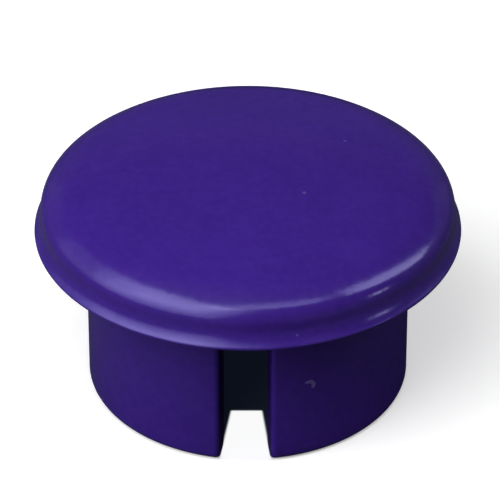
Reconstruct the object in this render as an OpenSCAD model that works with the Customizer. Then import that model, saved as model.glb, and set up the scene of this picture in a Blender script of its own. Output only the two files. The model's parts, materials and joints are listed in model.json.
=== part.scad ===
// Internal dome cap: a moulded end cap whose hollow split plug presses into the bore of a plastic pipe.
// The plug stands on the plane z = 0 with its axis on Z, and one slot faces the front, along -Y.

/* [Plug] */
// Outside diameter of the plug, the bore of the pipe that it presses into
plug_d = 20.9; // [17:0.1:24]
// Length of the plug from its foot to the underside of the lip
plug_h = 11.1; // [6:0.1:30]
// Wall thickness of the hollow plug
plug_wall = 2; // [1.2:0.1:4]
// Rounding of the plug's outer foot edge, which leads it into the pipe
foot_r = 0.5; // [0.2:0.05:0.8]
// Bevel of the plug's inner foot edge
mouth_bevel = 0.3; // [0.1:0.05:0.4]

/* [Slots] */
// Number of slots that split the plug into springy legs
slot_count = 2; // [1:1:6]
// Width of a slot where it opens on the outside of the plug
slot_w = 3.4; // [1.6:0.1:5]
// Angle at which each side of a slot leans inwards towards the axis
slot_taper = 8; // [0:0.5:10]
// Band of plug left whole between a slot and the lip
slot_land = 0.5; // [0.2:0.1:4]
// Rounding of a slot's two outer edges
slot_edge_r = 0.3; // [0.1:0.05:0.6]
// Turn of the slots about the axis, from straight ahead
slot_turn = -1; // [-30:1:30]

/* [Head] */
// Diameter of the head's straight side, the outside of the pipe
side_d = 26.7; // [24.6:0.1:40]
// Height of the straight side between the lip's flare and the shoulder
side_h = 0.3; // [0.1:0.02:4]
// Radius of the shoulder, which rolls the side over towards the top
shoulder_r = 1.4; // [0.8:0.05:2.2]
// Angle that the shoulder rolls through before the crown takes over
shoulder_turn = 50; // [35:1:65]
// Radius of the crown, the gentler curve between the shoulder and the dome
crown_r = 4; // [2.5:0.1:7]
// Radius of the sphere that the dome is part of
dome_r = 78; // [40:1:400]
// Thickness of the dome over the hollow
dome_wall = 2.2; // [1.2:0.1:4]
// Rounding between the hollow's wall and its ceiling
ceiling_r = 1; // [0.3:0.1:3]

/* [Lip] */
// How far the lip stands out past the side
lip_reach = 0.42; // [0.2:0.02:1.2]
// Thickness of the lip's fully rounded edge
lip_t = 0.34; // [0.2:0.02:0.8]
// Radius of the hollow curve that flares the side out into the lip
flare_r = 1.55; // [0.6:0.05:3]

/* [Hidden] */
$fn = 128;
cap_colour = "#3b2186";
// Arcs that run into each other overlap by this much, so that they cross and don't only graze
blend = 0.001;
// How far a cutting shape reaches past what it cuts
past = 1;
plug_r = plug_d / 2;
hollow_r = plug_r - plug_wall;
side_r = side_d / 2;
lip_r = lip_t / 2;
// Centre of the lip's rounded edge, and of the flare above it, from the lip's underside
lip_x = side_r + lip_reach - lip_r;
flare_x = side_r + flare_r;
flare_y = lip_r + leg(flare_r + lip_r, flare_x - lip_x);
// Centres of the arcs that shape the head's edge, and of the dome's sphere, which the hollow shares
shoulder_c = [side_r - shoulder_r, plug_h + flare_y + side_h];
crown_c = shoulder_c - (crown_r - shoulder_r) * [cos(shoulder_turn), sin(shoulder_turn)];
dome_c = [0, crown_c.y - leg(dome_r - crown_r, crown_c.x)];
ceiling_c = [hollow_r - ceiling_r, dome_c.y + leg(dome_r - dome_wall - ceiling_r, hollow_r - ceiling_r)];

// Remaining side of a right-angled triangle
function leg(long_side, side) = sqrt(pow(long_side, 2) - pow(side, 2));

// Direction from one point to another
function direction(from, to) = atan2(to.y - from.y, to.x - from.x);

// Part of a disc on the upper side of the line through its centre in one direction
module upper_part(centre, r, turn) {
    reach = r + past;
    along = reach * [cos(turn), sin(turn)];
    intersection() {
        translate(centre)
            circle(r);
        translate(centre)
            polygon([-along, along, [along.x, reach * 2], [-along.x, reach * 2]]);
    }
}

// Half section of a round body from a flat base up to a rounded edge and the arcs that go on from it,
// each one as [centre, radius, start direction]
module domed_section(base_y, body_r, edge_c, edge_r, arcs) {
    intersection() {
        union() {
            square([body_r, edge_c.y]);
            translate(edge_c)
                circle(edge_r);
            for (arc = arcs)
                upper_part(arc[0], arc[1], arc[2]);
        }
        translate([0, base_y])
            square([body_r + past, dome_c.y + dome_r + past - base_y]);
    }
}

// Half section of the head above the lip's underside
module head_section() {
    domed_section(plug_h, side_r, shoulder_c, shoulder_r + 2 * blend, [
        [crown_c, crown_r + blend, shoulder_turn],
        [dome_c, dome_r, direction(dome_c, crown_c)]
    ]);
}

// Half section of the lip and the flare that carries it, on the lip's underside
module lip_section() {
    difference() {
        polygon([[0, 0], [lip_x, 0], [lip_x, lip_r], [flare_x, flare_y], [0, flare_y]]);
        translate([flare_x, flare_y])
            circle(flare_r + blend);
    }
    translate([lip_x, lip_r])
        circle(lip_r);
}

// Half section of the plug's outside, with a rounded foot, reaching up into the lip
module plug_section() {
    foot_x = plug_r - foot_r;
    square([foot_x, plug_h + lip_t]);
    translate([0, foot_r])
        square([plug_r, plug_h + lip_t - foot_r]);
    translate([foot_x, foot_r])
        circle(foot_r);
}

// Half section of the hollow, with a bevelled mouth
module hollow_section() {
    domed_section(0, hollow_r, ceiling_c, ceiling_r + blend, [
        [dome_c, dome_r - dome_wall, direction(dome_c, ceiling_c)]
    ]);
    polygon([[0, 0], [hollow_r + mouth_bevel, 0], [hollow_r, mouth_bevel], [0, mouth_bevel]]);
}

// Half section of the whole cap
module cap_section() {
    difference() {
        union() {
            head_section();
            translate([0, plug_h])
                lip_section();
            plug_section();
        }
        hollow_section();
    }
}

// Point by a slot's side: its distance from the side's own line through the axis, and its run outwards
function by_slot(off, run) = [
    off * cos(slot_taper) + run * sin(slot_taper),
    off * sin(slot_taper) - run * cos(slot_taper)
];

// Plan of one slot that opens towards -Y, with its outer edges rounded over
module slot_plan() {
    side_off = slot_w / 2 * cos(slot_taper) - plug_r * sin(slot_taper);
    edge_off = side_off + slot_edge_r;
    edge_run = leg(plug_r - slot_edge_r, edge_off);
    inner = by_slot(side_off, leg(hollow_r, side_off) - past);
    touch = by_slot(side_off, edge_run);
    edge = by_slot(edge_off, edge_run);
    outer = edge * (plug_r + past) / (plug_r - slot_edge_r);
    right = [inner, touch, edge, outer];
    left = [for (i = [len(right) - 1 : -1 : 0]) [-right[i].x, right[i].y]];
    difference() {
        polygon(concat(right, left));
        for (side = [1, -1])
            translate([side * edge.x, edge.y])
                circle(slot_edge_r + blend);
    }
}

module dome_cap() {
    color(cap_colour)
        difference() {
            rotate_extrude()
                cap_section();
            for (i = [0 : slot_count - 1])
                rotate(slot_turn + i * 360 / slot_count)
                    translate([0, 0, -past])
                        linear_extrude(plug_h - slot_land + past)
                            slot_plan();
        }
}

dome_cap();
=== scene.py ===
import json
from math import asin, atan2, cos, hypot, pi, radians, sin, sqrt, tan

import bmesh
import bpy
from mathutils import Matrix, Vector


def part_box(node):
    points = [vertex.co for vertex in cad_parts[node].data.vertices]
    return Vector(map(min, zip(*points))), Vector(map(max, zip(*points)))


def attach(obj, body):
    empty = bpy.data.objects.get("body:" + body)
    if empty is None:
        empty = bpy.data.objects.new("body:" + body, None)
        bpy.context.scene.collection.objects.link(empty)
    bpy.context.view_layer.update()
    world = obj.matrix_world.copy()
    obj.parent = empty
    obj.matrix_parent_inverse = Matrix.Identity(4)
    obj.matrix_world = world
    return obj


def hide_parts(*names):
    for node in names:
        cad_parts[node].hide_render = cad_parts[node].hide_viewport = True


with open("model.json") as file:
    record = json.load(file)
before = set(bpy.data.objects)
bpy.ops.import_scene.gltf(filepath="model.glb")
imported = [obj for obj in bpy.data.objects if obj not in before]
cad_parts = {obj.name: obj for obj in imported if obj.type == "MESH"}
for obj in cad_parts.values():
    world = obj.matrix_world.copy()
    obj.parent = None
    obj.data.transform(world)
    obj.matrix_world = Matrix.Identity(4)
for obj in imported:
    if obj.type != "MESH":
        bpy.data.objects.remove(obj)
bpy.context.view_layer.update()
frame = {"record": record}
scene = bpy.context.scene
mm = 0.001
nodeGap = 170  # between nodes in the shader editor


# Shader maths as plain sums: each operator adds its own node and hands back the new socket
class Wire:
    def __init__(self, tree, socket=None):
        self.tree = tree
        self.socket = socket

    # Any node from its type, its settings, the values or links of its inputs, and the output wanted
    def node(self, kind, settings, inputs, output=0):
        made = self.tree.nodes.new(kind)
        made.location.x = nodeGap * len(self.tree.nodes)
        for name, value in settings.items():
            setattr(made, name, value)
        for name, value in inputs.items():
            if isinstance(value, Wire):
                self.tree.links.new(value.socket, made.inputs[name])
            else:
                made.inputs[name].default_value = value
        return Wire(self.tree, made.outputs[output]) if made.outputs else made

    def maths(self, operation, first, second):
        return self.node("ShaderNodeMath", {"operation": operation}, {0: first, 1: second})

    def __add__(self, other):
        return self.maths("ADD", self, other)

    def __sub__(self, other):
        return self.maths("SUBTRACT", self, other)

    def __rsub__(self, other):
        return self.maths("SUBTRACT", other, self)

    def __mul__(self, other):
        return self.maths("MULTIPLY", self, other)

    def __pow__(self, other):
        return self.maths("POWER", self, other)

    def __abs__(self):
        return self.maths("ABSOLUTE", self, 0.0)

    __radd__ = __add__
    __rmul__ = __mul__

    # Soft step from 0 at one value to 1 at another, which may be the lower of the two
    def ramp(self, zeroAt, oneAt):
        rises = oneAt > zeroAt
        return self.node("ShaderNodeMapRange", {"interpolation_type": "SMOOTHSTEP"}, {
            "Value": self, "From Min": min(zeroAt, oneAt), "From Max": max(zeroAt, oneAt),
            "To Min": 0.0 if rises else 1.0, "To Max": 1.0 if rises else 0.0})

    # From one colour to another; 6, 7 and 2 are the colour sockets of the Mix node
    def mix(self, first, second):
        return self.node("ShaderNodeMix", {"data_type": "RGBA"}, {0: self, 6: first, 7: second}, 2)


def newMaterial(name):
    material = bpy.data.materials.new(name)
    material.use_nodes = True
    material.node_tree.nodes.clear()
    return material, Wire(material.node_tree)


def newObject(name, data):
    made = bpy.data.objects.new(name, data)
    scene.collection.objects.link(made)
    return made


# The cap's moulding, in millimetres and degrees
# The frame gives the rest: the plug's radius, the height of the lip's seat and the outer edge
capSizes = {
    "plugWall": 2.0,
    "footRound": 0.5,
    "mouthBevel": 0.3,
    "slots": 2,
    "slotWidth": 3.4,
    "slotTaper": 8.0,
    "slotLand": 0.5,
    "slotEdgeRound": 0.3,
    "slotTurn": -1.0,
    "lipReach": 0.42,
    "lipThick": 0.34,
    "flareRound": 1.55,
    "sideHeight": 0.3,
    "shoulderRound": 1.4,
    "shoulderTurn": 50.0,
    "crownRound": 4.0,
    "domeRound": 78.0,
    "domeWall": 2.2,
    "ceilingRound": 1.0,
    "crispFrom": 35.0,  # edges that turn more than this stay crisp
    "weldWithin": 0.0005,  # points closer than this become one
    "steps": {  # faces along each stretch
        "leg": 212,  # round a leg's outside
        "slot": 28,  # across a slot
        "slotEdge": 8,
        "wall": 6,  # through the plug's wall
        "legHeight": 14,
        "foot": 8,
        "land": 2,
        "seat": 6,
        "nose": 10,
        "flare": 14,
        "side": 4,
        "shoulder": 24,
        "crown": 16,
        "dome": 18,
        "hollow": 4,
        "ceilingEdge": 8,
        "ceiling": 12,
    },
}
steps = capSizes["steps"]

mounts = {mount["name"]: mount for mount in frame["record"]["mounts"]}
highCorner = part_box("dome_cap")[1]
plugR = mounts["pipe_plug"]["dims"]["r_mm"]
lipZ = mounts["lip_seat"]["pos_m"][2] / mm
sideR = highCorner[0] / mm - capSizes["lipReach"]
hollowR = plugR - capSizes["plugWall"]
noseR = capSizes["lipThick"] / 2  # the lip's edge is a full round
slotTop = lipZ - capSizes["slotLand"]
slotPitch = 2 * pi / capSizes["slots"]


# Remaining side of a right-angled triangle
def leg(longSide, side):
    return sqrt(longSide ** 2 - side ** 2)


def stretch(first, last, count):
    return [first + (last - first) * i / count for i in range(count + 1)]


def arc(centre, r, start, end, count):
    turns = stretch(start, end, count)
    return [(centre[0] + r * cos(turn), centre[1] + r * sin(turn)) for turn in turns]


def between(first, last, part):
    return tuple(a + (b - a) * part for a, b in zip(first, last))


# Centres of the arcs of the head's edge as (radius, height), and the height of the dome's centre
def headCentres():
    size = capSizes
    noseC = (sideR + size["lipReach"] - noseR, lipZ + noseR)
    flareX = sideR + size["flareRound"]
    flareC = (flareX, noseC[1] + leg(size["flareRound"] + noseR, flareX - noseC[0]))
    shoulderC = (sideR - size["shoulderRound"], flareC[1] + size["sideHeight"])
    roll = radians(size["shoulderTurn"])
    back = size["crownRound"] - size["shoulderRound"]
    crownC = (shoulderC[0] - back * cos(roll), shoulderC[1] - back * sin(roll))
    domeZ = crownC[1] - leg(size["domeRound"] - size["crownRound"], crownC[0])
    return noseC, flareC, shoulderC, crownC, domeZ


noseC, flareC, shoulderC, crownC, domeZ = headCentres()


# Outside of the head as (radius, height), from the top of the slots over lip and dome to the apex
def headSection():
    size = capSizes
    meet = atan2(flareC[1] - noseC[1], flareC[0] - noseC[0])
    roll = radians(size["shoulderTurn"])
    domeStart = atan2(crownC[1] - domeZ, crownC[0])
    section = [(plugR, z) for z in stretch(slotTop, lipZ, steps["land"])]
    section += [(r, lipZ) for r in stretch(plugR, noseC[0], steps["seat"])][1:]
    section += arc(noseC, noseR, -pi / 2, meet, steps["nose"])[1:]
    section += arc(flareC, size["flareRound"], meet + pi, pi, steps["flare"])[1:]
    section += [(sideR, z) for z in stretch(flareC[1], shoulderC[1], steps["side"])][1:]
    section += arc(shoulderC, size["shoulderRound"], 0, roll, steps["shoulder"])[1:]
    section += arc(crownC, size["crownRound"], roll, domeStart, steps["crown"])[1:]
    section += arc((0, domeZ), size["domeRound"], domeStart, pi / 2, steps["dome"])[1:]
    return section


# Inside of the head, from the top of the slots up the hollow to the middle of its ceiling
def hollowSection():
    size = capSizes
    ceilingR = size["domeRound"] - size["domeWall"]
    edgeX = hollowR - size["ceilingRound"]
    edgeC = (edgeX, domeZ + leg(ceilingR - size["ceilingRound"], edgeX))
    start = atan2(edgeC[1] - domeZ, edgeX)
    section = [(hollowR, z) for z in stretch(slotTop, edgeC[1], steps["hollow"])]
    section += arc(edgeC, size["ceilingRound"], 0, start, steps["ceilingEdge"])[1:]
    section += arc((0, domeZ), ceilingR, start, pi / 2, steps["ceiling"])[1:]
    return section


# A slot's side lies this far from the line through the axis that it is parallel to
taper = radians(capSizes["slotTaper"])
sideOff = capSizes["slotWidth"] / 2 * cos(taper) - plugR * sin(taper)


# Turn and radius, from the slot's middle, of a point this far off that line and this far along it
def bySlot(off, run):
    across = off * cos(taper) + run * sin(taper)
    out = run * cos(taper) - off * sin(taper)
    return atan2(across, out), hypot(across, out)


# Turn at which a slot's side reaches radius r
def sideTurn(r):
    return taper + asin(sideOff / r)


# Rounded outer edge of a leg whose outside has radius r, from the slot's side to the outside
def edgeRounding(r):
    roundR = capSizes["slotEdgeRound"]
    off = sideOff + roundR
    centreTurn, centreR = bySlot(off, leg(r - roundR, off))
    centre = Vector((centreR * sin(centreTurn), centreR * cos(centreTurn)))
    points = []
    for turn in stretch(taper - pi / 2, centreTurn, steps["slotEdge"]):
        point = centre + roundR * Vector((sin(turn), cos(turn)))
        points.append((atan2(point.x, point.y), point.length))
    return points


# One leg's outline from slot to slot as (turn, radius), with rounded edges on its outside
def outsideOfLeg(r):
    edge = edgeRounding(r)
    first = edge[-1][0]
    middle = [(turn, r) for turn in stretch(first, slotPitch - first, steps["leg"])]
    return edge[:-1] + middle + [(slotPitch - turn, edgeR) for turn, edgeR in reversed(edge[:-1])]


# The same for the inside, in as many points
def insideOfLeg(r):
    first = sideTurn(r)
    columns = steps["leg"] + 2 * steps["slotEdge"]
    return [(turn, r) for turn in stretch(first, slotPitch - first, columns)]


# Point of the cap from its turn, radius and height
def capPoint(turn, r, z, slot=0):
    turn += slot * slotPitch + radians(capSizes["slotTurn"])
    return Vector((r * sin(turn), -r * cos(turn), z)) * mm


def addGrid(mesh, rows, closed=False):
    corners = [[mesh.verts.new(point) for point in row] for row in rows]
    for low, high in zip(corners, corners[1:]):
        if closed:
            low, high = low + low[:1], high + high[:1]
        for i in range(len(low) - 1):
            mesh.faces.new((low[i], low[i + 1], high[i + 1], high[i]))


def addFace(mesh, points):
    mesh.faces.new([mesh.verts.new(point) for point in points])


# Turns of all the columns round the cap, with one leg after each slot
def ringTurns(edgeTurn, legColumns):
    turns = []
    for slot in range(capSizes["slots"]):
        start = slot * slotPitch
        turns += [start + turn for turn in stretch(-edgeTurn, edgeTurn, steps["slot"])][:-1]
        turns += [start + turn for turn in stretch(edgeTurn, slotPitch - edgeTurn, legColumns)][:-1]
    return turns


def addHead(mesh):
    outerTurns = ringTurns(edgeRounding(plugR)[-1][0], steps["leg"])
    innerTurns = ringTurns(sideTurn(hollowR), steps["leg"] + 2 * steps["slotEdge"])
    addGrid(mesh, [[capPoint(turn, r, z) for turn in outerTurns] for r, z in headSection()], True)
    addGrid(mesh, [[capPoint(turn, r, z) for turn in innerTurns] for r, z in hollowSection()], True)


# One leg in rows of (turn, radius, height): down its outside, round its foot and up its inside
def legRows():
    size = capSizes
    footR = size["footRound"]
    heights = stretch(slotTop, footR, steps["legHeight"])
    outside = [[(turn, r, z) for turn, r in outsideOfLeg(plugR)] for z in heights]
    foot = []
    for r, z in arc((plugR - footR, footR), footR, 0, -pi / 2, steps["foot"])[1:]:
        foot.append([(turn, edgeR, z) for turn, edgeR in outsideOfLeg(r)])
    flat = foot[-1]
    mouth = [(turn, r, 0) for turn, r in insideOfLeg(hollowR + size["mouthBevel"])]
    for part in stretch(0, 1, steps["wall"])[1:-1]:
        foot.append([between(outer, inner, part) for outer, inner in zip(flat, mouth)])
    foot.append(mouth)
    foot.append([(turn, r, size["mouthBevel"]) for turn, r in insideOfLeg(hollowR)])
    inside = [[(turn, r, z) for turn, r in insideOfLeg(hollowR)] for z in reversed(heights)]
    return outside, foot, inside


def addLeg(mesh, slot):
    outside, foot, inside = legRows()
    through = stretch(0, 1, steps["wall"])
    addGrid(mesh, [[capPoint(*place, slot) for place in row] for row in outside + foot + inside])
    for end in (0, -1):  # the flat sides that face the slots
        outerEdge = [capPoint(*row[end], slot) for row in outside]
        innerEdge = [capPoint(*row[end], slot) for row in reversed(inside)]
        addGrid(mesh, [[a.lerp(b, part) for part in through] for a, b in zip(outerEdge, innerEdge)])
        across = [outerEdge[-1].lerp(innerEdge[-1], part) for part in reversed(through)]
        addFace(mesh, across + [capPoint(*row[end], slot) for row in foot])


# Ceiling of one slot, between the outside, the slot's two sides and the hollow
def addSlotCeiling(mesh, slot):
    def arcAcross(end, r):
        return [capPoint(turn, r, slotTop, slot) for turn in stretch(-end, end, steps["slot"])]

    def bothSides(turn, r):
        return capPoint(-turn, r, slotTop, slot), capPoint(turn, r, slotTop, slot)

    edge = edgeRounding(plugR)
    innerTurn = sideTurn(hollowR)
    outerArc = arcAcross(edge[-1][0], plugR)
    innerArc = arcAcross(innerTurn, hollowR)

    # where the rows between the two arcs start and end: round the edges, then along the sides
    rowEnds = [bothSides(*place) for place in reversed(edge[:-1])]
    sides = list(zip(bothSides(*edge[0]), bothSides(innerTurn, hollowR)))
    for part in stretch(0, 1, steps["wall"])[1:-1]:
        rowEnds.append([first.lerp(last, part) for first, last in sides])

    rows = [outerArc]
    shares = stretch(0, 1, steps["slot"])
    for i, (left, right) in enumerate(rowEnds, 1):
        line = [a.lerp(b, i / (len(rowEnds) + 1)) for a, b in zip(outerArc, innerArc)]
        leftMiss, rightMiss = left - line[0], right - line[-1]
        rows.append([point + leftMiss * (1 - part) + rightMiss * part
                     for point, part in zip(line, shares)])
    addGrid(mesh, rows + [innerArc])


def makeCap():
    mesh = bmesh.new()
    addHead(mesh)
    for slot in range(capSizes["slots"]):
        addLeg(mesh, slot)
        addSlotCeiling(mesh, slot)
    bmesh.ops.remove_doubles(mesh, verts=mesh.verts, dist=capSizes["weldWithin"] * mm)
    bmesh.ops.recalc_face_normals(mesh, faces=mesh.faces)
    for face in mesh.faces:
        face.smooth = True
    for edge in mesh.edges:
        edge.smooth = edge.calc_face_angle(pi) < radians(capSizes["crispFrom"])
    loose = sum(1 for edge in mesh.edges if len(edge.link_faces) != 2)
    print("cap meshed:", len(mesh.faces), "faces,", loose, "open edges")
    data = bpy.data.meshes.new("domeCap")
    mesh.to_mesh(data)
    mesh.free()
    cap = newObject("domeCap", data)
    cap.modifiers.new("evenShading", "WEIGHTED_NORMAL").keep_sharp = True
    return cap


# Satin violet plastic: colours linear, lengths in millimetres
plasticLook = {
    "violet": (0.049, 0.0164, 0.262, 1),
    "deep": (0.038, 0.0125, 0.212, 1),
    "pale": (0.17, 0.14, 0.38, 1),
    "glossTint": (0.55, 0.52, 1, 1),
    "gloss": 1.0,
    "refraction": 1.6,
    "roughness": 0.18,

    # noises, and the stops between which they come in
    "cloud": {"scale": 0.3, "detail": 3.0},
    "mottle": {"scale": 2.2, "detail": 3.0},
    "grain": {"scale": 9.0, "detail": 2.0},
    "haze": {"scale": 1.1, "detail": 4.0},
    "drawLines": {"scale": 1.6, "detail": 3.0, "squeeze": (1, 1, 0.06)},
    "cloudStops": (0.3, 0.7),
    "mottleStops": (0.25, 0.75),
    "hazeStops": (0.35, 0.75),
    "rimStops": (0.45, 0.7),

    # where the finish changes: out from the plug, up from the lip's seat, or down from it
    "flareOut": (1.5, 2.5),
    "flareUp": 1.3,
    "rimOut": (2.9, 3.3),
    "plugDown": 0.3,

    # how much each thing adds to the colour, the roughness and the height
    "violetShare": {"cloud": 0.3, "mottle": 0.5, "drawLines": 0.1, "grain": 0.1},
    "paleShare": {"haze": 0.014, "rim": 0.08, "rubbed": 0.85, "specks": 0.55},
    "duller": {"mottle": 0.05, "grain": 0.05, "flare": 0.07, "rubbed": 0.25},
    "relief": {"mottle": 0.010, "grain": 0.002, "drawLines": 0.004, "specks": 0.02, "rubbed": -0.004},

    # x, y, z and radius of each speck
    "specks": [(6.31, 4.17, 15.05, 0.16), (3.6, -2.29, 15.3, 0.2), (3.05, -13.09, 11.88, 0.13)],
    "scuff": {"x": 3.88, "z": 5.56, "bend": 0.29, "half": 0.19,
              "core": 0.02, "fade": 0.12, "ragged": 0.16},
}
noiseMiddle = 0.5


# Place on the piece in millimetres, and its x, y and z
def placeInMm(wires):
    place = wires.node("ShaderNodeTexCoord", {}, {}, "Object")
    place = wires.node("ShaderNodeVectorMath", {"operation": "SCALE"}, {0: place, "Scale": 1 / mm})
    return place, [wires.node("ShaderNodeSeparateXYZ", {}, {"Vector": place}, axis) for axis in "XYZ"]


def diagonal(x, y):
    return (x * x + y * y) ** 0.5


def noise(wires, place, scale, detail, squeeze=(1, 1, 1)):
    place = wires.node("ShaderNodeVectorMath", {"operation": "MULTIPLY"}, {0: place, 1: squeeze})
    return wires.node("ShaderNodeTexNoise", {}, {"Vector": place, "Scale": scale, "Detail": detail})


# Sum of several things, each by its own share
def blended(shares, things):
    return sum(things[name] * share for name, share in shares.items())


# Specks of dust that the mould pressed in
def dustSpecks(wires, place):
    total = 0
    for *centre, r in plasticLook["specks"]:
        away = wires.node("ShaderNodeVectorMath", {"operation": "DISTANCE"},
                          {0: place, 1: centre}, "Value")
        total = total + away.ramp(r, 0)
    return total


# Crescent-shaped scuff on the front of the right leg
def legScuff(x, y, z, grain):
    scuff = plasticLook["scuff"]
    right, up = x - scuff["x"], z - scuff["z"]
    ring = abs(diagonal(right, up) - scuff["bend"]) + (grain - noiseMiddle) * scuff["ragged"]
    upperRight = (right + up).ramp(-scuff["fade"], scuff["fade"])
    return ring.ramp(scuff["half"], scuff["core"]) * upperRight * y.ramp(0, -1)


def satinPlastic():
    look = plasticLook
    material, wires = newMaterial("satinViolet")
    place, (x, y, z) = placeInMm(wires)
    cloud = noise(wires, place, **look["cloud"])
    mottle = noise(wires, place, **look["mottle"])
    grain = noise(wires, place, **look["grain"])
    haze = noise(wires, place, **look["haze"]).ramp(*look["hazeStops"])
    onPlug = z.ramp(lipZ, lipZ - look["plugDown"])
    drawLines = noise(wires, place, **look["drawLines"]) * onPlug + (1 - onPlug) * noiseMiddle
    specks = dustSpecks(wires, place)
    rubbed = legScuff(x, y, z, grain)

    # the flare is a little duller, and the lip's rim has gone pale in places
    fromPlug = diagonal(x, y) - plugR
    flare = fromPlug.ramp(*look["flareOut"]) * z.ramp(lipZ + look["flareUp"], lipZ)
    rim = fromPlug.ramp(*look["rimOut"]) * cloud.ramp(*look["rimStops"])

    violetness = blended(look["violetShare"], {
        "cloud": cloud.ramp(*look["cloudStops"]), "mottle": mottle.ramp(*look["mottleStops"]),
        "drawLines": drawLines, "grain": grain})
    paleness = blended(look["paleShare"], {"haze": haze, "rim": rim, "rubbed": rubbed, "specks": specks})
    roughness = look["roughness"] + blended(look["duller"], {
        "mottle": mottle - noiseMiddle, "grain": grain - noiseMiddle, "flare": flare, "rubbed": rubbed})
    height = blended(look["relief"], {
        "mottle": mottle, "grain": grain, "drawLines": drawLines, "specks": specks, "rubbed": rubbed})

    colour = paleness.mix(violetness.mix(look["deep"], look["violet"]), look["pale"])
    normal = wires.node("ShaderNodeBump", {}, {"Strength": 1.0, "Distance": mm, "Height": height})
    plastic = wires.node("ShaderNodeBsdfPrincipled", {}, {
        "Base Color": colour, "Roughness": roughness, "Normal": normal, "IOR": look["refraction"],
        "Specular IOR Level": look["gloss"], "Specular Tint": look["glossTint"]})
    wires.node("ShaderNodeOutputMaterial", {}, {"Surface": plastic})
    return material


domeCap = makeCap()
domeCap.data.materials.append(satinPlastic())
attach(domeCap, "root")
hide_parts("dome_cap")
print("cap ready in its plastic")


# White floor for the camera over a dark card, which is what the cap's gloss and the bounced light find
# Both are sheets of one size, in metres; the other lengths are in millimetres
studio = {
    "sheetSize": 20.0,
    "floorDrop": 0.02,  # below the cap's foot
    "floorColour": (0.93, 0.93, 0.93, 1),
    "floorGlow": (0.42, 0.42, 0.42, 1),
    "cardDrop": 0.04,
    "cardColour": (0.035, 0.035, 0.035, 1),
    "cardPale": (0.09, 0.09, 0.09, 1),  # its two sides, which come in along x
    "cardPaleLeft": (2.0, -22.0),
    "cardPaleRight": (8.0, 34.0),
    "worldColour": (0.022, 0.022, 0.025, 1),
    "hollowColour": (0.03, 0.045, 0.08, 1),  # painted shade: floor deep under the cap painted near-black
    # faint dark glow of that painted shade
    "hollowGlow": (0.003, 0.0045, 0.009, 1),
    "hollowPast": 1.2,  # how far under the plug's wall that painted shade reaches
    "slotGlow": (0.95, 0.95, 0.95, 1),  # painted pool of light: floor in the slots glows white as if daylight came through them
    "slotGlowEnd": 4.87,  # where that painted light ends, from the axis, and half its width there
    "slotGlowHalf": 1.0,
    "slotGlowSoft": 0.1,
}


def flatSheet(name, drop, material):
    half = studio["sheetSize"] / 2
    z = -drop * mm
    data = bpy.data.meshes.new(name)
    corners = [(-half, -half, z), (half, -half, z), (half, half, z), (-half, half, z)]
    data.from_pydata(corners, [], [(0, 1, 2, 3)])
    data.materials.append(material)
    sheet = newObject(name, data)
    return sheet


def mattePaint(wires, colour, glow=(0, 0, 0, 1)):
    paint = wires.node("ShaderNodeBsdfPrincipled", {}, {
        "Base Color": colour, "Roughness": 1.0, "Specular IOR Level": 0.0,
        "Emission Color": glow, "Emission Strength": 1.0})
    wires.node("ShaderNodeOutputMaterial", {}, {"Surface": paint})


# Floor: even white outside the plug, painted shade deep under the cap and a painted pool of light in the
# slots
def floorPaint():
    material, wires = newMaterial("floorPaint")
    x, y = placeInMm(wires)[1][:2]
    soft, end, half = studio["slotGlowSoft"], studio["slotGlowEnd"], studio["slotGlowHalf"]
    # 0 on the painted shade deep under the cap, 1 on the open floor
    outside = diagonal(x, y).ramp(hollowR + studio["hollowPast"], plugR)
    across = abs(x - y * tan(radians(-capSizes["slotTurn"])))
    beyond = abs(y) - end
    lean = (capSizes["slotWidth"] / 2 - half) / (plugR - end)
    # painted pool of light: a wedge of floor in each slot that glows white
    paintedLightPatch = beyond.ramp(-soft, soft) * (across - beyond * lean - half).ramp(soft, -soft)
    glow = outside.mix(paintedLightPatch.mix(studio["hollowGlow"], studio["slotGlow"]), studio["floorGlow"])
    mattePaint(wires, outside.mix(studio["hollowColour"], studio["floorColour"]), glow)
    return material


def cardPaint():
    material, wires = newMaterial("cardPaint")
    x = placeInMm(wires)[1][0]
    sides = x.ramp(*studio["cardPaleLeft"]) + x.ramp(*studio["cardPaleRight"])
    mattePaint(wires, sides.mix(studio["cardColour"], studio["cardPale"]))
    return material


floor = flatSheet("floor", studio["floorDrop"], floorPaint())
floor.visible_diffuse = False
floor.visible_glossy = False
floor.visible_shadow = False
flatSheet("darkCard", studio["cardDrop"], cardPaint())
world = bpy.data.worlds.new("dimStudio")
world.use_nodes = True
world.node_tree.nodes["Background"].inputs["Color"].default_value = studio["worldColour"]
scene.world = world
print("floor and card laid")


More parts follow.
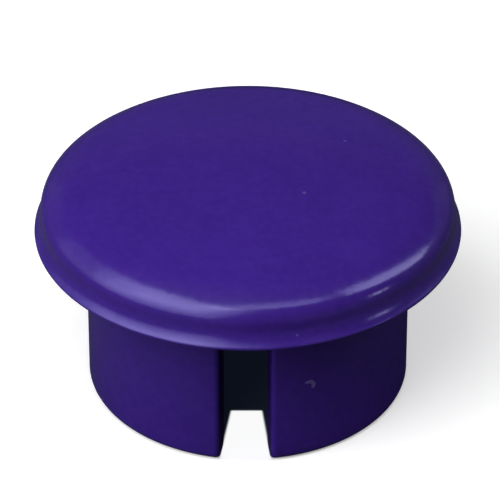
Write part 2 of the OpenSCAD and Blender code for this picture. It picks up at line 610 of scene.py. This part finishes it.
# Lamps by turn from the camera's side (left is minus), height, and spread across and up, in degrees
# Glow is their brightness, and away is in metres; those that don't show light the cap but not its gloss
lamps = {
    "keyPanel": {"turn": -46, "rise": 47, "across": 36, "up": 37, "glow": 0.75},
    "keyWide": {"turn": -51, "rise": 40, "across": 56, "up": 51, "glow": 0.72},
    "keySpread": {"turn": -50, "rise": 32.5, "across": 74, "up": 65, "glow": 0.64},
    "keyTail": {"turn": -66, "rise": 26, "across": 100, "up": 60, "glow": 0.26},
    "lowLeft": {"turn": -76, "rise": 13, "across": 40, "up": 20, "glow": 1.4, "shows": False},
    "lowRight": {"turn": 100, "rise": 22, "across": 50, "up": 40, "glow": 0.12, "shows": False},
    "topPanel": {"turn": 0, "rise": 82, "across": 60, "up": 60, "glow": 0.12, "shows": False},
    "nearPanel": {"turn": -33, "rise": 60, "across": 50, "up": 50, "glow": 1.85,
                  "away": 0.07, "shows": False},
    "rightPanel": {"turn": 95, "rise": 38.5, "across": 17.5, "up": 44, "glow": 2.15, "roll": 42},
    "rightStrip": {"turn": 70, "rise": 4, "across": 7, "up": 11, "glow": 3.2},
    "frontStrip": {"turn": 14, "rise": 64, "across": 44, "up": 13, "glow": 1.25},
    "leftWall": {"turn": -120, "rise": 6, "across": 60, "up": 40, "glow": 0.07},
    "rightWall": {"turn": 118, "rise": 6, "across": 60, "up": 40, "glow": 0.07},
    "backHaze": {"turn": 180, "rise": 14, "across": 70, "up": 28, "glow": 0.045},
    "backFill": {"turn": 170, "rise": 22, "across": 70, "up": 40, "glow": 0.55, "shows": False},
}
lampAim = 12  # mm up the cap's axis


def hangLamp(name, turn, rise, across, up, glow, roll=0, away=1.2, shows=True):
    turn, rise = radians(turn), radians(rise)
    toLamp = Vector((sin(turn) * cos(rise), -cos(turn) * cos(rise), sin(rise)))
    data = bpy.data.lights.new(name, "AREA")
    data.shape = "RECTANGLE"
    data.size = 2 * away * tan(radians(across) / 2)
    data.size_y = 2 * away * tan(radians(up) / 2)
    data.energy = glow * pi * data.size * data.size_y  # an area lamp's watts from its brightness
    lamp = newObject(name, data)
    lamp.location = Vector((0, 0, lampAim * mm)) + toLamp * away
    lamp.rotation_euler = (-toLamp).to_track_quat("-Z", "Y").to_euler()
    lamp.rotation_euler.rotate_axis("Z", radians(roll))
    lamp.visible_camera = False
    lamp.visible_glossy = shows


for lampName, settings in lamps.items():
    hangLamp(lampName, **settings)
scene.view_settings.view_transform = "Standard"
print(len(lamps), "lamps hung")


# Camera: how high it looks from, how far it stands, and where the axis point that it turns about lands
shot = {
    "rise": 34.87,
    "axisPoint": 6.543,  # mm up the axis
    "pixel": 0.06519,  # mm at the axis point
    "away": 4200,  # in pixels
    "axisPixel": (247.83, 285.2),
    "imageSize": 500,
    "sensor": 36.0,
    "nearest": 0.01,  # metres
}


def placeCamera():
    rise = radians(shot["rise"])
    back = Vector((0, -cos(rise), sin(rise)))
    up = Vector((0, sin(rise), cos(rise)))
    data = bpy.data.cameras.new("photoCamera")
    data.sensor_width = shot["sensor"]
    data.lens = shot["sensor"] * shot["away"] / shot["imageSize"]
    data.clip_start = shot["nearest"]
    camera = newObject("photoCamera", data)
    camera.location = Vector((0, 0, shot["axisPoint"] * mm)) + back * shot["away"] * shot["pixel"] * mm
    half = shot["imageSize"] / 2
    missX, missY = half - shot["axisPixel"][0], shot["axisPixel"][1] - half
    look = Vector((missX, 0, 0)) + up * missY - back * shot["away"]
    camera.rotation_euler = look.to_track_quat("-Z", "Y").to_euler()
    scene.camera = camera


placeCamera()
print("camera placed")
